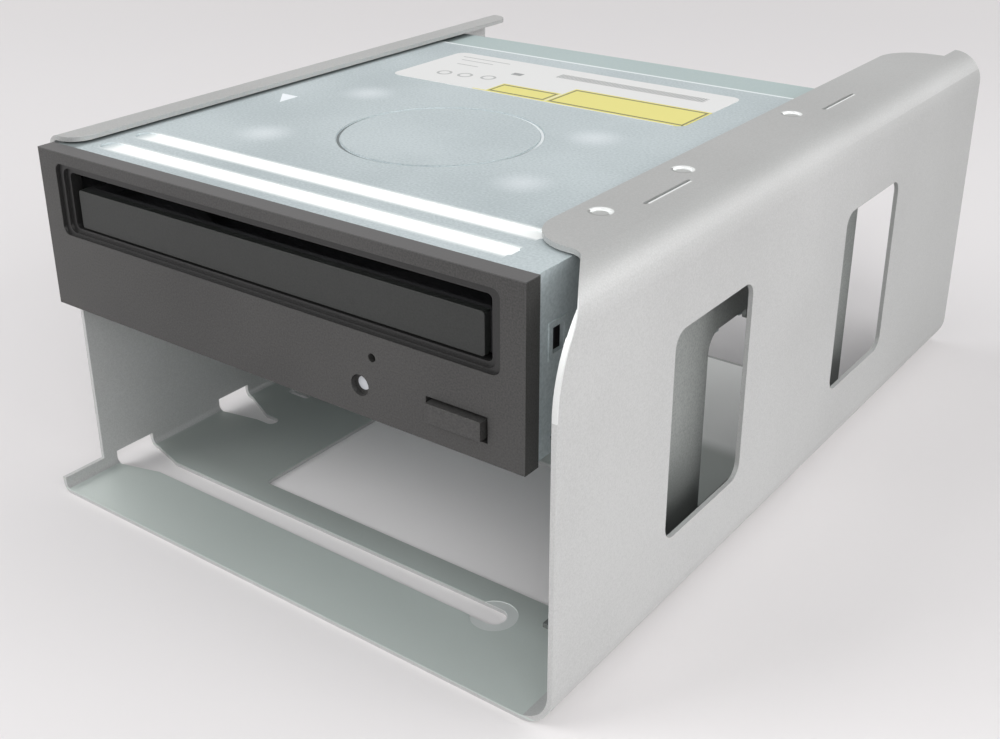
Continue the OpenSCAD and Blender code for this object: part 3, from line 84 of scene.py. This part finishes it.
def modify(piece, name, kind, **settings):
    modifier = piece.modifiers.new(name, kind)
    for setting, value in settings.items():
        setattr(modifier, setting, value)
    bpy.ops.object.modifier_apply(modifier=name)


def shell(name, node, body, edge):
    piece = bpy.data.objects.new(name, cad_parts[node].data.copy())
    bpy.context.collection.objects.link(piece)
    bpy.ops.object.select_all(action="DESELECT")
    piece.select_set(True)
    bpy.context.view_layer.objects.active = piece
    bpy.ops.object.mode_set(mode="EDIT")
    bpy.ops.mesh.select_all(action="SELECT")
    bpy.ops.mesh.remove_doubles(threshold=meshing["merge"])
    bpy.ops.mesh.dissolve_limited(angle_limit=math.radians(meshing["flat"]))
    bpy.ops.object.mode_set(mode="OBJECT")
    modify(piece, "edges", "BEVEL", width=edge, segments=meshing["segments"],
        limit_method="ANGLE", angle_limit=math.radians(meshing["sharp"]))
    bpy.ops.object.shade_smooth_by_angle(angle=math.radians(meshing["smooth"]))
    modify(piece, "normals", "WEIGHTED_NORMAL", keep_sharp=True)
    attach(piece, body)
    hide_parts(node)
    return piece


# One socket, so that shader maths reads as Python
class Wire:
    def __init__(self, graph, socket):
        self.graph = graph
        self.socket = socket

    def math(self, kind, *terms):
        return self.graph.wire("Math", {"operation": kind}, dict(enumerate(terms)))

    def __add__(self, other):
        return self.math("ADD", self, other)

    def __sub__(self, other):
        return self.math("SUBTRACT", self, other)

    def __rsub__(self, other):
        return self.math("SUBTRACT", other, self)

    def __mul__(self, other):
        return self.math("MULTIPLY", self, other)

    __radd__ = __add__
    __rmul__ = __mul__

    def __abs__(self):
        return self.math("ABSOLUTE", self)

    def __lt__(self, other):
        return self.math("LESS_THAN", self, other)

    def __gt__(self, other):
        return self.math("GREATER_THAN", self, other)

    def root(self):
        return self.math("SQRT", self)

    def repeat(self, step):
        return self.math("FLOORED_MODULO", self, step)

    def between(self, low, high):
        return (self > low) * (self < high)

    def fade(self, start, end):
        return self.graph.wire("MapRange", {"interpolation_type": "SMOOTHSTEP"},
            {"Value": self, "From Min": start, "From Max": end})


# The nodes of one material or of the world
class Graph:
    def __init__(self, owner):
        owner.use_nodes = True
        self.tree = owner.node_tree
        self.tree.nodes.clear()

    def node(self, kind, settings, values):
        made = self.tree.nodes.new("ShaderNode" + kind)
        for setting, value in settings.items():
            setattr(made, setting, value)
        for slot, value in values.items():
            self.feed(made.inputs[slot], value)
        return made

    def wire(self, kind, settings, values, out=0):
        return Wire(self, self.node(kind, settings, values).outputs[out])

    def feed(self, slot, value):
        if isinstance(value, Wire):
            self.tree.links.new(value.socket, slot)
        elif slot.type == "RGBA":
            slot.default_value = (*value, 1.0)
        else:
            slot.default_value = value


class Paint(Graph):
    origin = (0.0, 0.0)

    def __init__(self, name, color, roughness, metallic=0.0, coat=0.0, specular=0.5):
        self.material = bpy.data.materials.new(name)
        super().__init__(self.material)
        self.shader = self.node("BsdfPrincipled", {}, {
            "Base Color": color, "Roughness": roughness, "Metallic": metallic,
            "Coat Weight": coat, "Specular IOR Level": specular})
        self.surface = Wire(self, self.shader.outputs[0])
        self.output = self.node("OutputMaterial", {}, {"Surface": self.surface})
        self.place = self.wire("TexCoord", {}, {}, "Object")
        split = self.node("SeparateXYZ", {}, {0: self.place})
        self.x, self.y, self.z = (Wire(self, axis) for axis in split.outputs)
        self.look = color

    def set(self, slot, value):
        self.feed(self.shader.inputs[slot], value)

    def noise(self, scale, detail):
        return self.wire("TexNoise", {}, {"Vector": self.place, "Scale": scale, "Detail": detail})

    def mix(self, factor, under, over):
        return self.wire("Mix", {"data_type": "RGBA"}, {0: factor, 6: under, 7: over}, 2)

    def bump(self, height, strength, distance):
        self.set("Normal", self.wire("Bump", {},
            {"Height": height, "Strength": strength, "Distance": distance}))

    # A tone is a colour and how far it covers what is under it
    def tint(self, mask, tone):
        color, cover = tone
        self.look = self.mix(mask * cover, self.look, color)

    def box(self, left, right, front, rear):
        x, y = self.origin
        return self.x.between(x + left, x + right) * self.y.between(y + front, y + rear)

    def away(self, x, y):
        dx = self.x - (self.origin[0] + x)
        dy = self.y - (self.origin[1] + y)
        return (dx * dx + dy * dy).root()

    def dress(self, *pieces):
        self.set("Base Color", self.look)
        for piece in pieces:
            piece.data.materials.clear()
            piece.data.materials.append(self.material)


# A look has tones (dark, light), finish (roughness, metallic, coat) and
# grain (scale of the fine grain, scale of the clouds, depth of the bump)
def grained(name, look):
    dark, pale = look["tones"]
    roughness, metallic, coat = look["finish"]
    fineScale, broadScale, depth = look["grain"]
    paint = Paint(name, pale, roughness, metallic, coat)
    paint.grain = paint.noise(fineScale, 2.0)
    broad = paint.noise(broadScale, 3.0)
    shared = paint.grain * graining["fine"] + broad * graining["broad"]
    paint.look = paint.mix(shared.fade(*graining["spread"]), dark, pale)
    paint.set("Roughness", broad * graining["wear"] + (roughness - graining["wear"] / 2))
    paint.bump(paint.grain, graining["bump"], depth)
    return paint


# The aluminium carrier
# Colours for painted light and painted shade
paintedLight = (0.86, 0.88, 0.87)
shade = (0.22, 0.23, 0.22)
carrierLook = {
    "tones": ((0.475, 0.48, 0.475), (0.57, 0.575, 0.57)),
    "finish": (0.5, 0.4, 0.0),
    "grain": (2600, 14.0, 0.00004),
    "edge": 0.0003,
    "plateHeight": (0.0009, 0.0014),
    "plateLightTone": ((0.58, 0.64, 0.61), 0.85),
    "underDrive": (-0.098, -0.082),
    "underDriveShade": (shade, 0.45),
    "coin": (0.0485, -0.0942),
    "coinRadius": 0.0058,
    "coinHighlight": ((0.74, 0.76, 0.75), 0.8),
    "plateRear": (0.003, 0.011),
    "plateRearLight": (paintedLight, 0.8),
    "plateEdge": (0.0588, 0.0602),
    "plateEdgeShadow": (shade, 0.75),
    "wallFace": 0.0800,
    "wallRear": (-0.02, 0.118),
    "wallRearShade": (shade, 0.28),
    "flangeHeight": (0.095, 0.099),
    "flangeShade": (shade, 0.3),
    "flangeFace": 0.0979,
    "dimples": [(0.0622, -0.0744), (0.0622, -0.0391), (0.0622, 0.0192)],
    "dimpleRadius": 0.0023,
    "dimpleRim": (0.0007, 0.0003),
    "dimpleSplit": -0.0005,
    "dimpleLightAndShade": [(paintedLight, 0.9), (shade, 0.6)],
    "slits": [(0.0671, -0.0548), (0.0671, 0.0382)],
    "slitSide": (0.0004, 0.0010),
    "slitReach": 0.0094,
    "slitHighlight": (paintedLight, 0.85),
    "corner": (-0.0860, 0.0735),
    "cornerRim": 0.0316,
    "cornerFace": 0.0790,
    "cornerHighlight": (paintedLight, 0.5),
}
aluminium = grained("beadBlastedAluminium", carrierLook)
onPlate = aluminium.z.between(*carrierLook["plateHeight"])
onWall = aluminium.x > carrierLook["wallFace"]
onFlange = aluminium.z > carrierLook["flangeFace"]
# Painted light: the top of the floor plate lighter and greener, for light reflected onto it
aluminium.tint(onPlate, carrierLook["plateLightTone"])
# Painted shade on the plate under the drive
aluminium.tint(onPlate * aluminium.y.fade(*carrierLook["underDrive"]), carrierLook["underDriveShade"])
# Painted highlight: a lighter disc on the plate at the coin
coin = aluminium.away(*carrierLook["coin"]) < carrierLook["coinRadius"]
aluminium.tint(onPlate * coin, carrierLook["coinHighlight"])
# Painted light on the rear part of the plate, behind the drive's shade
aluminium.tint(onPlate * aluminium.y.fade(*carrierLook["plateRear"]), carrierLook["plateRearLight"])
# Painted shadow: a dark line on the plate along its rear edge, for the shadow the edge casts
aluminium.tint(onPlate * aluminium.y.between(*carrierLook["plateEdge"]), carrierLook["plateEdgeShadow"])
# Painted shade: the outer face of the right wall darker towards its rear
aluminium.tint(onWall * aluminium.y.fade(*carrierLook["wallRear"]), carrierLook["wallRearShade"])
# Painted shade: the carrier darker at the height of its top flanges
aluminium.tint(aluminium.z.fade(*carrierLook["flangeHeight"]), carrierLook["flangeShade"])
# Painted highlight on the rear half of each dimple's rim and painted shade on its front half
for x, y in carrierLook["dimples"]:
    rim = abs(aluminium.away(x, y) - carrierLook["dimpleRadius"]).fade(*carrierLook["dimpleRim"])
    middle = y + carrierLook["dimpleSplit"]
    for half, tone in zip((aluminium.y > middle, aluminium.y < middle), carrierLook["dimpleLightAndShade"]):
        aluminium.tint(rim * onFlange * half, tone)
# Painted highlight beside each slit in the flange
start, end = carrierLook["slitSide"]
for x, y in carrierLook["slits"]:
    along = abs(aluminium.y - y) < carrierLook["slitReach"]
    aluminium.tint(aluminium.x.between(x + start, x + end) * along * onFlange, carrierLook["slitHighlight"])
# Painted highlight along the front upper corner of the right wall
cornerY, cornerZ = carrierLook["corner"]
dy, dz = aluminium.y - cornerY, aluminium.z - cornerZ
rim = ((dy * dy + dz * dz).root() > carrierLook["cornerRim"]) * (dy < 0.0) * (dz > 0.0)
aluminium.tint(rim * (aluminium.x > carrierLook["cornerFace"]), carrierLook["cornerHighlight"])
aluminium.dress(shell("carrierShell", "carrier", "housing", carrierLook["edge"]))

bracketLook = {
    "tones": ((0.25, 0.265, 0.255), (0.36, 0.375, 0.365)),
    "finish": (0.5, 0.4, 0.0),
    "grain": (1800, 14.0, 0.00003),
    "edge": 0.0002,
    "foot": (0.045, 0.005),
    "footShade": ((0.13, 0.14, 0.135), 0.8),
}
bracketPaint = grained("bracketSheet", bracketLook)
# Painted shade: the bracket darker towards its foot
bracketPaint.tint(bracketPaint.z.fade(*bracketLook["foot"]), bracketLook["footShade"])
bracketPaint.dress(shell("bracketShell", "side_bracket", "housing", bracketLook["edge"]))
print("carrier made")

# The drive's case; places are in the drive's own frame
caseLook = {
    "tones": ((0.40, 0.46, 0.475), (0.54, 0.60, 0.615)),
    "finish": (0.58, 0.35, 0.0),
    "grain": (1500, 22, 0.00002),
    "coverEdge": 0.0003,
    "panEdge": 0.0002,
    "topFace": drive["top"] - 0.0006,
    "ribs": [(0.0092, 0.0146), (0.0202, 0.0257)],
    "ribBlur": (0.0012, -0.0008),
    "ribStart": (-0.0635, -0.0575),
    "ribEnd": 0.0625,
    "ribHighlight": ((0.94, 0.97, 0.96), 1.0),
    "rearStep": (-0.08, 0.08, 0.1526, 0.2),
    "rearFace": drive["top"] - 0.0009,
    "rearStepShade": ((0.40, 0.49, 0.48), 0.75),
    "crease": (-0.07, 0.07, 0.1514, 0.1526),
    "creaseHighlight": ((0.82, 0.87, 0.87), 0.8),
    "spark": (-0.0562, 0.0660),
    "sparkSize": 0.0072,
    "sparkSlope": 1.19,
    "sparkHighlight": ((0.90, 0.94, 0.97), 0.85),
    "ring": (0.0, 0.067),
    "ringRadius": 0.026,
    "ringWidth": 0.00035,
    "ringTurn": (0.079, 0.063),
    "ringNearShade": ((0.12, 0.14, 0.14), 0.85),
    "ringFarHighlight": ((0.92, 0.96, 0.97), 0.7),
    "flangeShadowFade": (-0.0691, -0.0713),
    "flangeShadowTone": ((0.12, 0.14, 0.14), 0.75),
    "lowSlot": (0.0105, 0.0138),
    "lowSlotHeight": (0.0589, 0.0632),
    "lowSlotFace": 0.0685,
    "slotShade": ((0.02, 0.02, 0.02), 0.95),
    "dents": [(-0.0427, 0.0875), (-0.0373, 0.0419), (0.0334, 0.0875), (0.0391, 0.0477)],
    "dentRadius": 0.0075,
    "dentReach": 1.3,
    "dentHighlight": ((0.90, 0.94, 0.97), 0.35),
    "dentGrain": 0.05,
    "dentBump": (0.25, 0.0004),
}
steel = grained("galvanisedSheet", caseLook)
steel.origin = drive["origin"]
onTop = steel.z > caseLook["topFace"]
# Painted highlight on the cover's two ribs
outer, inner = caseLook["ribBlur"]
ribStart = steel.x.fade(*(driveX + x for x in caseLook["ribStart"]))
for front, rear in caseLook["ribs"]:
    half = (rear - front) / 2
    across = abs(steel.y - (driveY + front + half)).fade(half + outer, half + inner)
    beforeEnd = steel.x < driveX + caseLook["ribEnd"]
    steel.tint(across * ribStart * beforeEnd * onTop, caseLook["ribHighlight"])
# Painted shade on the cover's rear step
steel.tint(steel.box(*caseLook["rearStep"]) * (steel.z > caseLook["rearFace"]), caseLook["rearStepShade"])
# Painted highlight: a light line along the edge of the rear step
steel.tint(steel.box(*caseLook["crease"]) * onTop, caseLook["creaseHighlight"])
# Painted highlight: a small light arrow on the cover
sparkX, sparkY = caseLook["spark"]
inward = (driveX + sparkX) - steel.x
back = steel.y - (driveY + sparkY)
wedge = (inward > 0.0) * (back > inward * caseLook["sparkSlope"]) * (back < caseLook["sparkSize"])
steel.tint(wedge, caseLook["sparkHighlight"])
# Painted shade on the near side of the disc groove and painted highlight on its far side
groove = abs(steel.away(*caseLook["ring"]) - caseLook["ringRadius"]) < caseLook["ringWidth"]
nearSide = steel.y.fade(*(driveY + y for y in caseLook["ringTurn"]))
steel.tint(groove * onTop * nearSide, caseLook["ringNearShade"])
steel.tint(groove * onTop * (1 - nearSide), caseLook["ringFarHighlight"])
# Painted shadow: a dark band on the cover beside the carrier's left flange
steel.tint(steel.x.fade(*caseLook["flangeShadowFade"]) * onTop, caseLook["flangeShadowTone"])
# Painted shade: a dark patch on the case's right side where a small slot stands; the slot is not modelled
lowSlot = (steel.y - driveY).between(*caseLook["lowSlot"]) * steel.z.between(*caseLook["lowSlotHeight"])
steel.tint(lowSlot * (steel.x > caseLook["lowSlotFace"]), caseLook["slotShade"])
# The four shallow dents: a painted highlight on each, and a bump for its hollow
hollow = steel.grain * caseLook["dentGrain"]
for x, y in caseLook["dents"]:
    out = steel.away(x, y)
    steel.tint(out.fade(caseLook["dentRadius"] * caseLook["dentReach"], 0.0) * onTop, caseLook["dentHighlight"])
    hollow = hollow + out.fade(0.0, caseLook["dentRadius"])
steel.bump(hollow, *caseLook["dentBump"])
steel.dress(
    shell("coverShell", "top_cover", "housing", caseLook["coverEdge"]),
    shell("panShell", "bottom_cover", "housing", caseLook["panEdge"]))
print("case made")

# The front
frontLook = {
    "tones": ((0.021, 0.0205, 0.020), (0.056, 0.055, 0.053)),
    "finish": (0.42, 0.0, 0.0),
    "grain": (2400, 14.0, 0.00004),
    "bezelEdge": 0.00035,
    "buttonEdge": 0.0003,
    "recess": (-0.0681, 0.0681, 0.0002, 0.0046),
    "recessHeight": (0.0758, 0.0948),
    "recessShade": ((0.009, 0.009, 0.009), 0.85),
    "topEdge": drive["top"] + 0.0001,
    "topLightTone": ((0.085, 0.085, 0.085), 0.8),
}
charcoal = grained("charcoalPlastic", frontLook)
charcoal.origin = drive["origin"]
# Painted shade in the recess round the tray opening
inRecess = charcoal.box(*frontLook["recess"]) * charcoal.z.between(*frontLook["recessHeight"])
charcoal.tint(inRecess, frontLook["recessShade"])
# Painted light: the bezel's top face lighter than its front
charcoal.tint(charcoal.z > frontLook["topEdge"], frontLook["topLightTone"])
charcoal.dress(
    shell("bezelShell", "bezel", "housing", frontLook["bezelEdge"]),
    shell("buttonShell", "eject_button", "eject_button", frontLook["buttonEdge"]))

trayLook = {
    "tones": ((0.009, 0.0105, 0.0095), (0.020, 0.022, 0.0205)),
    "finish": (0.4, 0.0, 0.0),
    "grain": (2400, 14.0, 0.00003),
    "edge": 0.0003,
}
trayPaint = grained("trayPlastic", trayLook)
trayPaint.dress(shell("trayFrontShell", "tray_front", "tray", trayLook["edge"]))
print("front made")

# Everything inside
insideLook = {
    "zincPlate": {
        "tones": ((0.55, 0.55, 0.54), (0.72, 0.72, 0.72)),
        "finish": (0.3, 1.0, 0.0),
        "grain": (900, 14.0, 0.00002),
        "nodes": ["bracket_rivets", "carrier_screws", "case_screws", "damper_screws", "board_screws"],
    },
    "blackMoulding": {
        "tones": ((0.022, 0.022, 0.024), (0.036, 0.036, 0.038)),
        "finish": (0.5, 0.0, 0.0),
        "grain": (1600, 14.0, 0.00003),
        "nodes": ["chassis", "tray", "eject_switch", "tray_switch", "lift_frame", "lens_holder",
            "board_chips", "rear_connector"],
    },
    "naturalMoulding": {
        "tones": ((0.66, 0.64, 0.56), (0.76, 0.74, 0.67)),
        "finish": (0.42, 0.0, 0.0),
        "grain": (700, 14.0, 0.00002),
        "nodes": ["switch_plunger", "motor_pulley", "pulley_gear", "idler_gear", "drive_gear",
            "cam_slider", "hub_cone", "feed_nut", "clamper"],
    },
    "blackRubber": {
        "tones": ((0.015, 0.015, 0.015), (0.026, 0.026, 0.026)),
        "finish": (0.75, 0.0, 0.0),
        "grain": (1200, 14.0, 0.00004),
        "nodes": ["disc_pads", "load_belt", "dampers", "turntable_pad"],
    },
    "groundSteel": {
        "tones": ((0.46, 0.47, 0.48), (0.60, 0.61, 0.62)),
        "finish": (0.28, 1.0, 0.0),
        "grain": (1500, 14.0, 0.00001),
        "nodes": ["load_motor", "traverse_plate", "spindle_base", "spindle_rotor", "guide_rods",
            "pickup_body", "lead_screw", "sled_motor"],
    },
    "enamelledCopper": {
        "tones": ((0.46, 0.20, 0.08), (0.62, 0.30, 0.13)),
        "finish": (0.35, 0.9, 0.0),
        "grain": (1200, 14.0, 0.00004),
        "nodes": ["spindle_stator"],
    },
    "solderMask": {
        "tones": ((0.018, 0.13, 0.055), (0.03, 0.18, 0.08)),
        "finish": (0.3, 0.0, 0.4),
        "grain": (900, 14.0, 0.00001),
        "nodes": ["front_board", "main_board"],
    },
    "nickelPlate": {
        "tones": ((0.22, 0.22, 0.24), (0.30, 0.30, 0.32)),
        "finish": (0.25, 1.0, 0.0),
        "grain": (800, 14.0, 0.00001),
        "nodes": ["actuator_magnets", "clamp_magnet"],
    },
    "paleLamp": {
        "tones": ((0.48, 0.50, 0.53), (0.58, 0.60, 0.63)),
        "finish": (0.25, 0.0, 0.5),
        "grain": (500, 14.0, 0.00001),
        "nodes": ["led", "led_lens"],
    },
    "coatedLens": {
        "tones": ((0.30, 0.36, 0.62), (0.42, 0.48, 0.72)),
        "finish": (0.06, 0.0, 1.0),
        "grain": (600, 14.0, 0.00001),
        "nodes": ["lens"],
    },
}
for name, look in insideLook.items():
    grained(name, look).dress(*(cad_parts[node] for node in look["nodes"]))
steel.dress(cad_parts["clamp_bracket"])
print("inside dressed")

# The label, with plain panels and bars; places are in the drive's own frame
grey = (0.20, 0.21, 0.21)
yellow = (0.75, 0.69, 0.23)
labelLook = {
    "paper": (0.75, 0.75, 0.74),
    "fibre": ((0.66, 0.66, 0.65), 0.2),
    "fibreScale": 900,
    "roughness": 0.55,
    "specular": 0.35,
    "strip": (-0.0220, 0.0460, 0.1088, 0.1096),
    "stripTone": (yellow, 0.9),
    "panels": [(-0.0176, 0.0026, 0.1090, 0.1186), (0.0030, 0.0466, 0.1090, 0.1254)],
    "rims": [(0.0, (yellow, 1.0)), (0.0006, ((0.10, 0.10, 0.07), 0.8)), (0.0013, (yellow, 1.0))],
    "rimDepth": 1.3,
    "bars": (-0.0097, 0.0392, 0.1335, 0.1376),
    "barStep": 0.0009,
    "barShare": 0.62,
    "square": (-0.0225, -0.0190, 0.1285, 0.1310),
    "markTone": (grey, 0.8),
    "lines": [
        (-0.048, -0.030, 0.1385, 0.1391),
        (-0.046, -0.034, 0.1350, 0.1356),
        (-0.044, -0.036, 0.1300, 0.1306),
    ],
    "rings": [(-0.0400, 0.1190), (-0.0330, 0.1200), (-0.0255, 0.1215)],
    "ringRadius": 0.0020,
    "ringWidth": 0.0004,
    "lineTone": (grey, 0.55),
}
labelPaint = Paint("printedLabel", labelLook["paper"], labelLook["roughness"],
    specular=labelLook["specular"])
labelPaint.origin = drive["origin"]
labelPaint.tint(labelPaint.noise(labelLook["fibreScale"], 2.0), labelLook["fibre"])
labelPaint.tint(labelPaint.box(*labelLook["strip"]), labelLook["stripTone"])
for left, right, front, rear in labelLook["panels"]:
    for rim, tone in labelLook["rims"]:
        deep = rim * labelLook["rimDepth"]
        labelPaint.tint(labelPaint.box(left + rim, right - rim, front + deep, rear - deep), tone)
step = labelLook["barStep"]
stripes = (labelPaint.x + 1.0).repeat(step) < step * labelLook["barShare"]
labelPaint.tint(labelPaint.box(*labelLook["bars"]) * stripes, labelLook["markTone"])
labelPaint.tint(labelPaint.box(*labelLook["square"]), labelLook["markTone"])
for line in labelLook["lines"]:
    labelPaint.tint(labelPaint.box(*line), labelLook["lineTone"])
for x, y in labelLook["rings"]:
    gap = abs(labelPaint.away(x, y) - labelLook["ringRadius"])
    labelPaint.tint(gap < labelLook["ringWidth"], labelLook["lineTone"])
labelPaint.dress(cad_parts["label"])
print("label made")


# What the camera, shiny surfaces and clear ones see of the backdrop
def backdropRays(graph):
    rays = graph.node("LightPath", {}, {})
    seenBy = ("Is Camera Ray", "Is Glossy Ray", "Is Transmission Ray")
    return sum(Wire(graph, rays.outputs[kind]) for kind in seenBy)


# Floor: far from the object it turns into an even backdrop
bpy.ops.object.select_all(action="DESELECT")
bpy.ops.mesh.primitive_plane_add(size=light["floorSize"], location=(0, 0, 0))
floor = bpy.context.object
floor.name = "floor"
floorPaint = Paint("paleTable", light["floor"], light["floorRoughness"], specular=light["floorSpecular"])
glow = floorPaint.wire("Emission", {}, {"Color": light["floor"], "Strength": light["backdropStrength"]})
distant = floorPaint.away(0.0, 0.0).fade(*light["nearFloor"])
blend = floorPaint.wire("MixShader", {},
    {0: distant * backdropRays(floorPaint), 1: floorPaint.surface, 2: glow})
floorPaint.feed(floorPaint.output.inputs["Surface"], blend)
floorPaint.dress(floor)

world = bpy.data.worlds.new("room")
bpy.context.scene.world = world
room = Graph(world)
glows = [room.wire("Background", {}, {"Color": color, "Strength": strength}) for color, strength in (
    (light["world"], light["worldStrength"]), (light["floor"], light["backdropStrength"]))]
seen = room.wire("MixShader", {}, {0: backdropRays(room), 1: glows[0], 2: glows[1]})
room.node("OutputWorld", {}, {"Surface": seen})

for name, (place, size, power) in light["lamps"].items():
    data = bpy.data.lights.new(name, "AREA")
    data.shape = "RECTANGLE"
    data.size, data.size_y = size
    data.energy = power
    lamp = bpy.data.objects.new(name, data)
    lamp.location = place
    lamp.rotation_euler = (Vector(light["aim"]) - Vector(place)).to_track_quat("-Z", "Y").to_euler()
    bpy.context.collection.objects.link(lamp)

lens = bpy.data.cameras.new("photoCamera")
lens.lens = camera["focal"]
lens.sensor_width = camera["sensor"]
lens.shift_x, lens.shift_y = camera["shift"]
lens.clip_start = camera["near"]
view = bpy.data.objects.new("photoCamera", lens)
bpy.context.collection.objects.link(view)
azimuth, elevation, roll = (math.radians(camera[angle]) for angle in ("azimuth", "elevation", "roll"))
ahead = Vector((
    -math.sin(azimuth) * math.cos(elevation),
    math.cos(azimuth) * math.cos(elevation),
    -math.sin(elevation),
))
view.rotation_euler = ahead.to_track_quat("-Z", "Y").to_euler()
view.rotation_euler.rotate_axis("Z", -roll)
view.location = camera["place"]
scene = bpy.context.scene
scene.camera = view
scene.view_settings.view_transform = "Standard"
print("scene lit")
